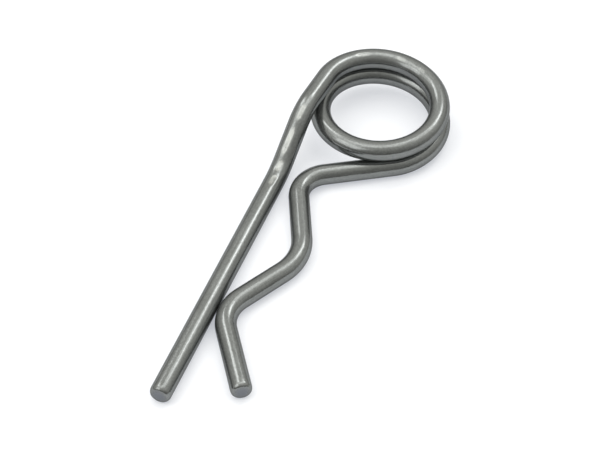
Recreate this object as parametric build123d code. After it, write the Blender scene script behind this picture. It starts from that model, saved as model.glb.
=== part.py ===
from build123d import *
import os
from math import cos, radians, sin, tan

# Hitch R clip: one spring wire, bent cold as one piece.
# It lies flat: the coil's axis is Z, and the coil's lowest turn and both legs touch z = 0.
# The origin is on the coil's axis, and the legs run towards +X.

# ---- driving sizes, in millimetres and degrees ----
wire_d = 4.0              # diameter of the drawn wire
end_round = 0.6           # rounded rim of the two cropped ends

coil_radius = 11.6        # from the coil's axis to the wire's centre, at the top turn
coil_spread = 0.13        # how much wider each turn below the top one has sprung
coil_lean = 0.3           # how far each turn below the top one has crept sideways, along +Y
turn_air = 0.05           # air between the turns where they come nearest
exit_angle = 32.2         # where the waved leg leaves the coil's lowest turn, from +X
entry_angle = 624.0       # where the straight leg's end of the wire joins, counted on from +X
crossing_angle = 13.0     # how far along a turn a leg's straight run still lies over or under it
coil_step = 30.0          # the arc that the winding is laid out in

exit_run = 13.8           # straight run from the coil to the shoulder
shoulder_radius = 6.0     # bend radii are taken to the wire's centre
shoulder_turn = 81.6
back_run = 10.4           # straight run from the shoulder to the belly
belly_radius = 10.4
belly_turn = 52.2
throat_run = 9.9          # straight run from the belly to the throat
throat_radius = 7.7
throat_turn = 61.5
flare_run = 14.4          # the flared tip that leads the pin in

leg_gap = 0.08            # air where the throat all but touches the straight leg
joggle_run = 9.9          # from the coil to the joggle's upper bend
joggle_length = 11.4      # along X, between the joggle's two bends
upper_bend_radius = 11.8
lower_bend_radius = 10.4
straight_leg = 58.4       # from the joggle's lower bend to the tip

# ---- sizes that follow ----
wire_r = wire_d / 2
pitch = (wire_d + turn_air) / (1 - crossing_angle / 360)
wound = entry_angle - exit_angle
rise = pitch * wound / 360


def plan(angle):
    """Unit vector in plan, at an angle from +X."""
    return Vector(cos(radians(angle)), sin(radians(angle)), 0)


def turns_below(angle):
    """How many turns a place on the winding lies below the top end of it."""
    return (entry_angle - angle) / 360


def coil_centre(angle):
    return Vector(0, coil_lean * turns_below(angle), 0)


def winding_radius(angle):
    return coil_radius + coil_spread * turns_below(angle)


def on_coil(angle):
    """The wire's centre on the winding, at the resting level of the lowest turn."""
    return coil_centre(angle) + plan(angle) * winding_radius(angle)


def level(angle):
    """Height of the wire's centre on the winding."""
    return wire_r + rise * (angle - exit_angle) / wound


# ---- waved leg: bends in the plane z = wire_r, from the coil outwards ----
heading = exit_angle - 90
place = on_coil(exit_angle) + Vector(0, 0, wire_r)
waved_route = []
waved_radii = []
bend_centres = []
bends = [
    (exit_run, shoulder_radius, shoulder_turn),
    (back_run, belly_radius, -belly_turn),
    (throat_run, throat_radius, throat_turn),
]
for run, radius, turn in bends:
    place = place + plan(heading) * run
    side = 90 if turn > 0 else -90
    bend_centres.append(place + plan(heading + side) * radius)
    reach = radius * tan(radians(abs(turn)) / 2)
    place = place + plan(heading) * reach
    waved_route.append(place)
    waved_radii.append(radius)
    heading += turn
    place = place + plan(heading) * reach
waved_tip = place + plan(heading) * flare_run

# The straight leg lies beside whichever of the shoulder and the throat reaches lowest in Y.
shoulder_low = bend_centres[0].Y - shoulder_radius
belly_high = bend_centres[1].Y + belly_radius
throat_low = bend_centres[2].Y - throat_radius
leg_y = min(shoulder_low, throat_low) - wire_d - leg_gap

# ---- winding: corners just outside it, each rounded to the winding's own radius ----
# The first and last corners stay level with the runs that they lead to. The waved leg then passes
# flat under the turn above it, and the straight leg's end passes flat over the turn below it.
arcs = round(wound / coil_step)
step = wound / arcs
winding_route = []
winding_radii = []
for i in range(arcs):
    angle = exit_angle + step * (i + 0.5)
    corner = coil_centre(angle) + plan(angle) * (winding_radius(angle) / cos(radians(step) / 2))
    winding_route.append(Vector(corner.X, corner.Y, level(angle)))
    winding_radii.append(winding_radius(angle) * 0.96)
winding_route[0].Z = level(exit_angle)
winding_route[-1].Z = level(entry_angle)

# ---- joggle: from the top turn down to the plane of the legs ----
entry = on_coil(entry_angle) + Vector(0, 0, level(entry_angle))
upper_bend = entry + plan(entry_angle + 90) * joggle_run
lower_bend = Vector(upper_bend.X + joggle_length, leg_y, wire_r)
straight_tip = lower_bend + Vector(straight_leg, 0, 0)

# ---- the wire: one round section along one route ----
route = [waved_tip, *reversed(waved_route), *winding_route, upper_bend, lower_bend, straight_tip]
radii = [*reversed(waved_radii), *winding_radii, upper_bend_radius, lower_bend_radius]
centreline = FilletPolyline(*route, radius=radii)
section = Plane(origin=centreline @ 0, z_dir=centreline % 0) * Circle(wire_r)
clip_wire = sweep(section, path=centreline)

# The two ends are cut square, and their rims are rounded a little by tumbling.
ends = clip_wire.faces().filter_by(GeomType.PLANE)
clip_wire = fillet(ends.edges(), end_round)

clip_wire.label = "clip_wire"
clip_wire.color = Color(0.52, 0.51, 0.49)

os.makedirs("parts", exist_ok=True)
export_step(clip_wire, "parts/clip_wire.step")

# ---- what the sizes come to ----
print(f"wire length {centreline.length:.1f}")
print(f"coil inside {2 * coil_radius - wire_d:.1f}, outside {2 * coil_radius + wire_d:.1f}")
print(f"straight leg at y {leg_y:.2f}, tip at x {straight_tip.X:.2f}")
print(f"widest gap between the legs {belly_high - leg_y - wire_d:.1f}")
print(f"volume {clip_wire.volume:.1f}")
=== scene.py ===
from math import cos, degrees, pi, radians, sin, tan
import bpy
import bmesh
import numpy as np
from mathutils import Matrix, Vector


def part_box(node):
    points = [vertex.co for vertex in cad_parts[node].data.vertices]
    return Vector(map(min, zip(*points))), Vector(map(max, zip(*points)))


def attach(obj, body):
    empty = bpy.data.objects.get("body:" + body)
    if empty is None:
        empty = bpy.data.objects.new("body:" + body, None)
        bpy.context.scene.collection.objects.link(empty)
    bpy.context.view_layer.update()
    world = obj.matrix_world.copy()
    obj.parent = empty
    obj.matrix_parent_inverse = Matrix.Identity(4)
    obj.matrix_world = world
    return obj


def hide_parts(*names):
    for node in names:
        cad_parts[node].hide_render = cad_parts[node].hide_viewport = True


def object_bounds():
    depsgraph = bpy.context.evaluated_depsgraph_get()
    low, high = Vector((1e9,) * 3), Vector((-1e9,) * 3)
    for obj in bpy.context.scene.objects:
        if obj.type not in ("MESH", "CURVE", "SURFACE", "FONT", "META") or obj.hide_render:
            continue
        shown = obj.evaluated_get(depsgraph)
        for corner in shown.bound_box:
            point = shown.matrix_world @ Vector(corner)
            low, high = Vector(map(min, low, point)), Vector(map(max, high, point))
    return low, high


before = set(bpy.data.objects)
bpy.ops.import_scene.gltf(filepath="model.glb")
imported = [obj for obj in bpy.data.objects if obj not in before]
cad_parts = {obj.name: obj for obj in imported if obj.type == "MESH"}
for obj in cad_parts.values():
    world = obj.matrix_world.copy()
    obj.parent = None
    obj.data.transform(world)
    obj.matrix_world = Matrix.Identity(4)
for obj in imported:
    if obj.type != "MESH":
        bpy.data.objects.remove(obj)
cad_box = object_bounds()

# ======== Clip wire ========
# The whole clip is one length of round spring-steel wire, drawn through a die and bent cold.
# Along it come the waved leg, a close double coil, a joggle and the straight leg.

# ---- the wire's route ----
# The sizes are the bending sizes in millimetres and degrees, taken to the wire's centre.
mm = 0.001
wire_r = 2.0

# The double coil, wound upwards from the waved leg to the straight one.
coil_radius = 11.6
coil_spread = 0.13
coil_lean = 0.3
exit_angle = 32.2
entry_angle = 624.0
pitch = 4.2
ease_angle = 40.0

# The waved leg, from the coil to its flared tip.
exit_run, shoulder_radius, shoulder_turn = 13.8, 6.0, 81.6
back_run, belly_radius, belly_turn = 10.4, 10.4, 52.2
throat_run, throat_radius, throat_turn = 9.9, 7.7, 61.5
flare_run = 14.4

# The joggle down from the coil's top, and the straight leg.
joggle_run = 9.9
joggle_length = 11.4
upper_bend_radius = 11.8
lower_bend_radius = 10.4
straight_leg = 58.4
leg_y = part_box("clip_wire")[0].y / mm + wire_r


def plan(angle):
    """Unit vector in plan, at an angle from +X."""
    return Vector((cos(radians(angle)), sin(radians(angle)), 0.0))


def climbed(angle):
    """How far the winding has climbed above its lowest end. It eases out of and into the flat runs."""
    def eased(q):
        t = min(q / ease_angle, 1.0)
        return q - ease_angle * (t - 2 * t**2 + t**3)
    wound = entry_angle - exit_angle
    below, above = angle - exit_angle, entry_angle - angle
    return pitch * (eased(below) if below < above else wound - eased(above)) / 360


def on_coil(angle):
    """The wire's centre on the winding. The lower turn has sprung a little wide and to one side."""
    below = (entry_angle - angle) / 360
    out = plan(angle) * (coil_radius + coil_spread * below)
    return out + Vector((0.0, coil_lean * below, wire_r + climbed(angle)))


def rounded(before, corner, after, radius):
    """Points about a degree apart on the arc that rounds a corner of the route."""
    into, out = (corner - before).normalized(), (after - corner).normalized()
    turn = into.angle(out)
    start = corner - into * radius * tan(turn / 2)
    centre = corner + (out - into).normalized() * radius / cos(turn / 2)
    steps = max(4, round(degrees(turn)))
    return [centre + (start - centre) * cos(turn * k / steps) + into * radius * sin(turn * k / steps)
            for k in range(steps + 1)]


def bent(corners, radii):
    """A route of straight runs with its inner corners rounded."""
    points = [corners[0]]
    for i, radius in enumerate(radii, 1):
        points += rounded(corners[i - 1], corners[i], corners[i + 1], radius)
    return points + [corners[-1]]


heading = exit_angle - 90
place = on_coil(exit_angle)
waved_corners = [place]
for run, radius, turn in ((exit_run, shoulder_radius, shoulder_turn),
                          (back_run, belly_radius, -belly_turn),
                          (throat_run, throat_radius, throat_turn)):
    reach = radius * tan(radians(abs(turn)) / 2)
    waved_corners.append(place + plan(heading) * (run + reach))
    heading += turn
    place = waved_corners[-1] + plan(heading) * reach
waved_corners.append(place + plan(heading) * flare_run)

entry = on_coil(entry_angle)
upper_bend = entry + plan(entry_angle + 90) * joggle_run
lower_bend = Vector((upper_bend.x + joggle_length, leg_y, wire_r))
straight_tip = lower_bend + Vector((straight_leg, 0.0, 0.0))

turns = np.arange(exit_angle, entry_angle, 1.0)[1:]
route = bent(waved_corners, [shoulder_radius, belly_radius, throat_radius])[::-1]
route += [on_coil(angle) for angle in turns]
route += bent([entry, upper_bend, lower_bend, straight_tip], [upper_bend_radius, lower_bend_radius])

route_mesh = bpy.data.meshes.new("wire_route")
route_mesh.from_pydata([p * mm for p in route], [(i, i + 1) for i in range(len(route) - 1)], [])
wire = bpy.data.objects.new("spring_wire", route_mesh)
bpy.context.scene.collection.objects.link(wire)


# ---- drawn spring steel ----
# Bare hard-drawn carbon spring wire. The die leaves it satin bright, with fine lines along its length.
def colour(hex_code):
    """An sRGB hex colour as the linear values that shaders take."""
    values = [int(hex_code[i:i + 2], 16) / 255 for i in (1, 3, 5)]
    return [v / 12.92 if v <= 0.04045 else ((v + 0.055) / 1.055) ** 2.4 for v in values] + [1.0]


def node(tree, kind, settings=None, links=None):
    """Adds a node. Settings are its properties or its sockets' values, and links go into its sockets."""
    made = tree.nodes.new(kind)
    for name, value in (settings or {}).items():
        if isinstance(name, str) and hasattr(made, name):
            setattr(made, name, value)
        else:
            made.inputs[name].default_value = value
    for name, source in (links or {}).items():
        tree.links.new(source, made.inputs[name])
    return made


steel = bpy.data.materials.new("drawn_spring_steel")
steel.use_nodes = True
tree = steel.node_tree
tree.nodes.clear()
# The wire's own space: x and y run across its section and z along it, in metres.
space = node(tree, "ShaderNodeAttribute", {"attribute_name": "wire_space"}).outputs["Vector"]

# Die lines. Real ones are hundredths of a millimetre wide. These are 0.2 mm wide, so that they show.
stretched = node(tree, "ShaderNodeVectorMath", {"operation": "MULTIPLY", 1: (1, 1, 0.012)}, {0: space})
die_lines = node(tree, "ShaderNodeTexNoise", {"Scale": 1 / (0.2 * mm), "Detail": 3.0, "Roughness": 0.6},
                 {"Vector": stretched.outputs[0]}).outputs["Fac"]
# The wire wavers a little as it leaves the die and the rollers, over a few millimetres.
loose = node(tree, "ShaderNodeVectorMath", {"operation": "MULTIPLY", 1: (1, 1, 0.3)}, {0: space})
waver = node(tree, "ShaderNodeTexNoise", {"Scale": 1 / (1.3 * mm), "Detail": 3.0},
             {"Vector": loose.outputs[0]}).outputs["Fac"]
# Traces of drawing soap and light handling leave duller blotches, about 2 mm across.
blotches = node(tree, "ShaderNodeTexNoise", {"Scale": 1 / (2 * mm), "Detail": 6.0, "Roughness": 0.7},
                {"Vector": loose.outputs[0]}).outputs["Fac"]

# The grain of the phosphate under the soap, pressed nearly smooth by the die.
grain = node(tree, "ShaderNodeTexNoise", {"Scale": 1 / (0.4 * mm), "Detail": 2.0},
             {"Vector": space}).outputs["Fac"]
# It rises to 1 where a bending tool has pressed a flat into the wire, and is 0 elsewhere.
pressed = node(tree, "ShaderNodeAttribute", {"attribute_name": "pressed"}).outputs["Fac"]

# The skin is a mid grey that the blotches vary, darker in the die lines and in the hollows of the grain.
shade = node(tree, "ShaderNodeMixRGB", {"Color1": colour("#717371"), "Color2": colour("#8f9292")},
             {"Fac": blotches}).outputs[0]
lined = node(tree, "ShaderNodeMapRange", {"From Min": 0.35, "From Max": 0.6, "To Min": 0.87, "To Max": 1.0},
             {"Value": die_lines}).outputs[0]
speckled = node(tree, "ShaderNodeMapRange",
                {"From Min": 0.3, "From Max": 0.6, "To Min": 0.85, "To Max": 1.03},
                {"Value": grain}).outputs[0]
lined = node(tree, "ShaderNodeMath", {"operation": "MULTIPLY"}, {0: lined, 1: speckled}).outputs[0]
shade = node(tree, "ShaderNodeVectorMath", {"operation": "SCALE"}, {0: shade, "Scale": lined}).outputs[0]
# Satin bright: smooth enough to mirror the lamps as long streaks, and duller in the blotches.
dull = node(tree, "ShaderNodeMapRange", {"From Min": 0.3, "From Max": 0.7, "To Min": 0.15, "To Max": 0.23},
            {"Value": blotches}).outputs[0]
# The relief, in real depths. The tool breaks the skin up, so the grain is four times as deep in its flats.
relief = node(tree, "ShaderNodeBump", {"Distance": 0.03 * mm}, {"Height": waver}).outputs[0]
relief = node(tree, "ShaderNodeBump", {"Distance": 0.005 * mm},
              {"Height": die_lines, "Normal": relief}).outputs[0]
coarser = node(tree, "ShaderNodeMath", {"operation": "MULTIPLY_ADD", 1: 3.0, 2: 1.0}, {0: pressed}).outputs[0]
coarser = node(tree, "ShaderNodeMath", {"operation": "MULTIPLY"}, {0: grain, 1: coarser}).outputs[0]
relief = node(tree, "ShaderNodeBump", {"Distance": 0.004 * mm},
              {"Height": coarser, "Normal": relief}).outputs[0]

# The cropped ends are bare sheared metal, duller and cooler than the drawn skin.
flat = node(tree, "ShaderNodeVectorMath", {"operation": "MULTIPLY", 1: (1, 1, 0)}, {0: space})
from_axis = node(tree, "ShaderNodeVectorMath", {"operation": "LENGTH"}, {0: flat.outputs[0]}).outputs["Value"]
cropped = node(tree, "ShaderNodeMapRange", {"From Min": 1.7 * mm, "From Max": 0.7 * mm},
               {"Value": from_axis}).outputs[0]
shade = node(tree, "ShaderNodeMixRGB", {"Color2": colour("#787b80")},
             {"Fac": cropped, "Color1": shade}).outputs[0]
rough = node(tree, "ShaderNodeMath", {"operation": "MULTIPLY_ADD", 1: 0.14}, {0: cropped, 2: dull}).outputs[0]

# The tool's small flats are rubbed clean of soap and more satin. Their lighter colour is partly that clean
# metal and partly a painted highlight, standing in for the sheen the flats catch from the lamps.
uneven = node(tree, "ShaderNodeMapRange", {"From Min": 0.35, "From Max": 0.6, "To Min": 0.1},
              {"Value": blotches}).outputs[0]
cleaned_and_sheen = node(tree, "ShaderNodeMath", {"operation": "MULTIPLY"}, {0: pressed, 1: uneven}).outputs[0]
shade = node(tree, "ShaderNodeMixRGB", {"Color2": colour("#aeb0ad")},
             {"Fac": cleaned_and_sheen, "Color1": shade}).outputs[0]
rough = node(tree, "ShaderNodeMath", {"operation": "MULTIPLY_ADD", 1: 0.1}, {0: pressed, 2: rough}).outputs[0]

# Where the throat presses on the straight leg, the skin is painted dark in patches over a millimetre or so:
# painted shade where the two legs touch.
position = node(tree, "ShaderNodeTexCoord").outputs["Object"]
throat = waved_corners[3]
touch = Vector((throat.x, leg_y + wire_r, wire_r + 0.6)) * mm
away = node(tree, "ShaderNodeVectorMath", {"operation": "DISTANCE", 1: touch},
            {0: position}).outputs["Value"]
patchy = node(tree, "ShaderNodeMath", {"operation": "MULTIPLY_ADD", 1: 1.6 * mm},
              {0: blotches, 2: away}).outputs[0]
contact_shade = node(tree, "ShaderNodeMapRange", {"From Min": 1.7 * mm, "From Max": 1.1 * mm, "To Max": 0.4},
              {"Value": patchy}).outputs[0]
shade = node(tree, "ShaderNodeMixRGB", {"Color2": colour("#38352e")},
             {"Fac": contact_shade, "Color1": shade}).outputs[0]

# Bare metal, with the thin film of dried soap that keeps it from being a clean mirror.
bsdf = node(tree, "ShaderNodeBsdfPrincipled",
            {"Metallic": 0.85, "Specular Tint": colour("#a8a8a8")},
            {"Base Color": shade, "Roughness": rough, "Normal": relief})
node(tree, "ShaderNodeOutputMaterial", links={"Surface": bsdf.outputs["BSDF"]})

# ---- sweeping the round section along the route ----
sweep = bpy.data.node_groups.new("bent_wire", "GeometryNodeTree")
for name, kind in (("Geometry", "Geometry"), ("Wire Radius", "Float"), ("Step", "Float"),
                   ("Sides", "Int"), ("Finish", "Material")):
    sweep.interface.new_socket(name, in_out="INPUT", socket_type=f"NodeSocket{kind}")
sweep.interface.new_socket("Geometry", in_out="OUTPUT", socket_type="NodeSocketGeometry")
given = node(sweep, "NodeGroupInput").outputs
line = node(sweep, "GeometryNodeMeshToCurve", links={"Mesh": given["Geometry"]})
line = node(sweep, "GeometryNodeResampleCurve", {"mode": "LENGTH"},
            {"Curve": line.outputs[0], "Length": given["Step"]})
line = node(sweep, "GeometryNodeSetCurveNormal", {"mode": "Z_UP"}, {"Curve": line.outputs[0]})
along = node(sweep, "GeometryNodeCaptureAttribute", {"domain": "POINT"}, {"Geometry": line.outputs[0]})
along.capture_items.new("FLOAT", "Along")
length = node(sweep, "GeometryNodeSplineParameter").outputs["Length"]
sweep.links.new(length, along.inputs["Along"])
ring = node(sweep, "GeometryNodeCurvePrimitiveCircle",
            links={"Resolution": given["Sides"], "Radius": given["Wire Radius"]})
across = node(sweep, "GeometryNodeCaptureAttribute", {"domain": "POINT"}, {"Geometry": ring.outputs[0]})
across.capture_items.new("VECTOR", "Across")
sweep.links.new(node(sweep, "GeometryNodeInputPosition").outputs[0], across.inputs["Across"])
tube = node(sweep, "GeometryNodeCurveToMesh",
            links={"Curve": along.outputs[0], "Profile Curve": across.outputs[0]})
split = node(sweep, "ShaderNodeSeparateXYZ", links={0: across.outputs["Across"]})
straightened = node(sweep, "ShaderNodeCombineXYZ",
                    links={"X": split.outputs["X"], "Y": split.outputs["Y"], "Z": along.outputs["Along"]})
tube = node(sweep, "GeometryNodeStoreNamedAttribute",
            {"data_type": "FLOAT_VECTOR", "domain": "POINT", "Name": "wire_space"},
            {"Geometry": tube.outputs[0], "Value": straightened.outputs[0]})
tube = node(sweep, "GeometryNodeRealizeInstances", links={"Geometry": tube.outputs[0]})
tube = node(sweep, "GeometryNodeSetMaterial",
            links={"Geometry": tube.outputs[0], "Material": given["Finish"]})
node(sweep, "NodeGroupOutput", links={"Geometry": tube.outputs[0]})

sides = 64
settings = {"Wire Radius": wire_r * mm, "Step": 0.2 * mm, "Sides": sides, "Finish": steel}
modifier = wire.modifiers.new("bent_wire", "NODES")
modifier.node_group = sweep
for item in sweep.interface.items_tree:
    if item.in_out == "INPUT" and item.name in settings:
        modifier[item.identifier] = settings[item.name]
swept = bpy.data.meshes.new_from_object(wire.evaluated_get(bpy.context.evaluated_depsgraph_get()))
wire.modifiers.clear()
wire.data = swept

# ---- cropped ends ----
# The shear leaves a flat face, and tumbling rounds its rim. The rings nearest each tip take that shape:
# three for the flat, then seven for the rim, as their depth from the tip and their radius. Ring 30, 6 mm in,
# is well clear of the rim and still on the straight, so it gives the direction and the section.
end_round = 0.6
end_wear = 1.0
clear_of_rim = 30
flat_rings = [(0.0, 0.4), (0.0, 0.9), (0.0, 1.35)]
rim_rings = [(end_wear * (1 - cos(a)), wire_r - end_round * (1 - sin(a))) for a in np.linspace(0, pi / 2, 7)]
count = len(swept.vertices) // sides
points = np.zeros(count * sides * 3)
swept.vertices.foreach_get("co", points)
points = points.reshape(count, sides, 3)
spaces = np.zeros(count * sides * 3)
swept.attributes["wire_space"].data.foreach_get("vector", spaces)
spaces = spaces.reshape(count, sides, 3)
around = spaces[count // 2, :, :2] / (wire_r * mm)
for rings, labels, side in ((points, spaces, 1), (points[::-1], spaces[::-1], -1)):
    straight_ring = rings[clear_of_rim]
    tip = rings[0].mean(0)
    inward = straight_ring.mean(0) - tip
    inward /= np.linalg.norm(inward)
    spokes = (straight_ring - straight_ring.mean(0)) / (wire_r * mm)
    first = labels[0, 0, 2]
    for k, (depth, radius) in enumerate(flat_rings + rim_rings):
        rings[k] = tip + inward * depth * mm + spokes * radius * mm
        labels[k, :, :2] = around * radius * mm
        labels[k, :, 2] = first + side * depth * mm

# ---- marks of the bending tool ----
# The pin that sets the joggle presses small shallow flats into the top of the wire, and others are on the
# coil. Each is its two distances along the wire, its two angles round it (-90 is the top) and its depth.
# Each runs out over a fifth of its length. The skin is fully cleaned, and its painted highlight is at full
# strength, where it is pressed 0.06 mm or more.
tool_marks = ((205.4, 208.8, -98, -94, 0.07), (209.8, 216.4, -92, -84, 0.09),
              (216.9, 220.7, -96, -90, 0.09), (221.4, 224.6, -98, -92, 0.09),
              (172.4, 174.2, -108, -108, 0.04), (177.2, 179.6, -112, -110, 0.05),
              (184.8, 188.4, -108, -104, 0.05))
run_out = 1 / 5
full_press = 0.06
pressed_in = np.zeros((count, sides))
spokes = (points - points.mean(1, keepdims=True)) / (wire_r * mm)
across_x, across_y = (np.einsum("s,rsc->rc", around[:, k], spokes) * 2 / sides for k in (0, 1))
for start, stop, angle, end_angle, depth in tool_marks:
    for i in range(count):
        t = (spaces[i, 0, 2] / mm - start) / (stop - start)
        if 0 <= t <= 1:
            a = radians(angle + (end_angle - angle) * t)
            face = wire_r - depth * min(1.0, t / run_out, (1 - t) / run_out)
            over = np.maximum(spaces[i, :, 0] * cos(a) + spaces[i, :, 1] * sin(a) - face * mm, 0)[:, None]
            points[i] -= over * (across_x[i] * cos(a) + across_y[i] * sin(a))
            spaces[i, :, :2] -= over * np.array((cos(a), sin(a)))
            pressed_in[i] = np.maximum(pressed_in[i], np.minimum(over[:, 0] / (full_press * mm), 1))

swept.vertices.foreach_set("co", points.reshape(-1))
swept.attributes["wire_space"].data.foreach_set("vector", spaces.reshape(-1))
swept.attributes.new("pressed", "FLOAT", "POINT").data.foreach_set("value", pressed_in.reshape(-1))

# A flat face closes each end.
shell = bmesh.new()
shell.from_mesh(swept)
shell.verts.ensure_lookup_table()
for first in (0, len(shell.verts) - sides):
    shell.faces.new([shell.verts[first + k] for k in range(sides)])
bmesh.ops.recalc_face_normals(shell, faces=shell.faces)
for face in shell.faces:
    face.smooth = True
shell.to_mesh(swept)
shell.free()
swept.update()

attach(wire, "root")
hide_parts("clip_wire")

# ======== Floor ========
# A plain matt white sheet, wide enough to fill the view. It isn't part of the clip.
# Its glow shows only to the camera and in reflections.
floor_mesh = bpy.data.meshes.new("floor")
floor_mesh.from_pydata([(x, y, 0.0) for x, y in ((-2, -2), (2, -2), (2, 2), (-2, 2))], [], [(0, 1, 2, 3)])
floor = bpy.data.objects.new("floor", floor_mesh)
bpy.context.scene.collection.objects.link(floor)
paper = bpy.data.materials.new("matt_white_paper")
paper.use_nodes = True
tree = paper.node_tree
tree.nodes.clear()
seen = node(tree, "ShaderNodeLightPath")
shows = node(tree, "ShaderNodeMath", {"operation": "MAXIMUM"},
             {0: seen.outputs["Is Camera Ray"], 1: seen.outputs["Is Glossy Ray"]})
shows = node(tree, "ShaderNodeMath", {"operation": "MAXIMUM"},
             {0: shows.outputs[0], 1: seen.outputs["Is Transmission Ray"]})
strength = node(tree, "ShaderNodeMath", {"operation": "MULTIPLY", 1: 0.46}, {0: shows.outputs[0]})
glow = node(tree, "ShaderNodeEmission", {"Color": colour("#f2f6ff")}, {"Strength": strength.outputs[0]})
matt = node(tree, "ShaderNodeBsdfDiffuse", {"Color": colour("#c8c8c8")})
both = node(tree, "ShaderNodeAddShader", links={0: glow.outputs[0], 1: matt.outputs[0]})
node(tree, "ShaderNodeOutputMaterial", links={"Surface": both.outputs[0]})
floor_mesh.materials.append(paper)

# ======== Lamps and surroundings ========
# Plain soft studio light: soft lamps from above, in a pale room. Key and second, which look the smallest
# from the clip, draw the long thin streaks on the wire, and the others fill in with wider ones.


def lamp(name, azimuth, elevation, distance, width, height, watts):
    """A soft rectangular lamp that faces the clip from a compass angle and a height angle."""
    data = bpy.data.lights.new(name, "AREA")
    data.shape = "RECTANGLE"
    data.size, data.size_y, data.energy = width, height, watts
    made = bpy.data.objects.new(name, data)
    bpy.context.scene.collection.objects.link(made)
    back = plan(azimuth - 90) * cos(radians(elevation)) + Vector((0.0, 0.0, sin(radians(elevation))))
    made.location = middle + back * distance
    made.rotation_euler = back.to_track_quat("Z", "Y").to_euler()


middle = (Vector(cad_box[0]) + Vector(cad_box[1])) / 2
lamp("key", 250, 48, 0.5, 0.10, 0.12, 0.14)
lamp("key_soft", 248, 58, 0.5, 0.26, 0.26, 0.24)
lamp("second", 327, 48, 0.9, 0.22, 0.28, 0.60)
lamp("overhead", 300, 80, 0.5, 0.26, 0.24, 0.20)
lamp("overhead_fill", 8, 60, 0.5, 0.33, 0.30, 0.23)
lamp("side", 50, 43, 0.5, 0.34, 0.30, 0.50)

# The room itself: a pale ceiling, darker walls, and one side that gets less light.
world = bpy.data.worlds.new("room")
bpy.context.scene.world = world
world.use_nodes = True
tree = world.node_tree
tree.nodes.clear()
toward = node(tree, "ShaderNodeTexCoord").outputs["Generated"]
height = node(tree, "ShaderNodeSeparateXYZ", links={0: toward}).outputs["Z"]
pale = node(tree, "ShaderNodeMapRange", {"To Min": 0.45, "To Max": 1.4}, {"Value": height}).outputs[0]
dim_side = node(tree, "ShaderNodeVectorMath", {"operation": "DOT_PRODUCT", 1: plan(28)}, {0: toward})
dimmed = node(tree, "ShaderNodeMapRange", {"From Max": 0.8, "To Min": 1.0, "To Max": 0.45},
              {"Value": dim_side.outputs["Value"]}).outputs[0]
level = node(tree, "ShaderNodeMath", {"operation": "MULTIPLY"}, {0: pale, 1: dimmed}).outputs[0]
room = node(tree, "ShaderNodeBackground", {"Color": colour("#fffef8")}, {"Strength": level})
node(tree, "ShaderNodeOutputWorld", links={"Surface": room.outputs[0]})

# ======== Camera ========
# A long lens, looking down on the clip from the side of its tips.
# Its angles are a compass angle, a height angle and a slight roll.
azimuth, elevation, roll, distance = 108.75, 48.1, 2.79, 0.404
look_at = Vector((0.0296, -0.0051, 0.0))
back = plan(azimuth - 90) * cos(radians(elevation)) + Vector((0.0, 0.0, sin(radians(elevation))))
right = Vector((0.0, 0.0, 1.0)).cross(back).normalized()
up = back.cross(right)
turn = radians(roll)
right, up = right * cos(turn) + up * sin(turn), up * cos(turn) - right * sin(turn)
lens = bpy.data.cameras.new("camera")
lens.sensor_width, lens.lens = 36.0, 127.9
lens.clip_start = 0.01
camera = bpy.data.objects.new("camera", lens)
bpy.context.scene.collection.objects.link(camera)
axes = Matrix((right, up, back)).transposed().to_4x4()
camera.matrix_world = Matrix.Translation(look_at + back * distance) @ axes
bpy.context.scene.camera = camera
bpy.context.scene.view_settings.view_transform = "Standard"
